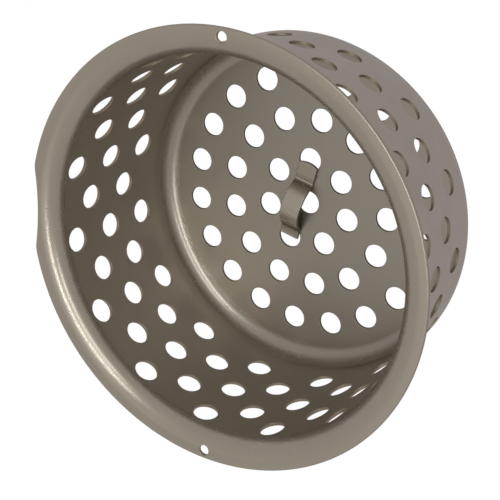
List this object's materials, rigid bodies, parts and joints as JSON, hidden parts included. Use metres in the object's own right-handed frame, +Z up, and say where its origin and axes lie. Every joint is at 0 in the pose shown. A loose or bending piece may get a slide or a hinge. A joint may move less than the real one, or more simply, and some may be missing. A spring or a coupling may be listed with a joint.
{
  "type": "basket strainer",
  "caption": "Deep round perforated steel basket with a flared rim, a finger notch and small tie holes in the rim, and a bent lifting strap welded across its floor.",
  "frame": {"origin": "centre of the basket's underside, on the surface that it stands on", "axes": "+Z up along the basket's axis, out of its mouth; +X through one column of the lowest row of wall holes; the lifting strap runs along Y; the rim's finger notch is 12 degrees from +X towards +Y"},
  "size_m": [0.165, 0.165, 0.0723],
  "materials": {
    "shell_steel": "satin",
    "strap_steel": "satin",
    "weld_metal": "dull"
  },
  "bodies": {
    "root": {"basket_shell": "shell_steel", "lifting_strap": "strap_steel", "tack_welds": "weld_metal"}
  },
  "joints": []
}
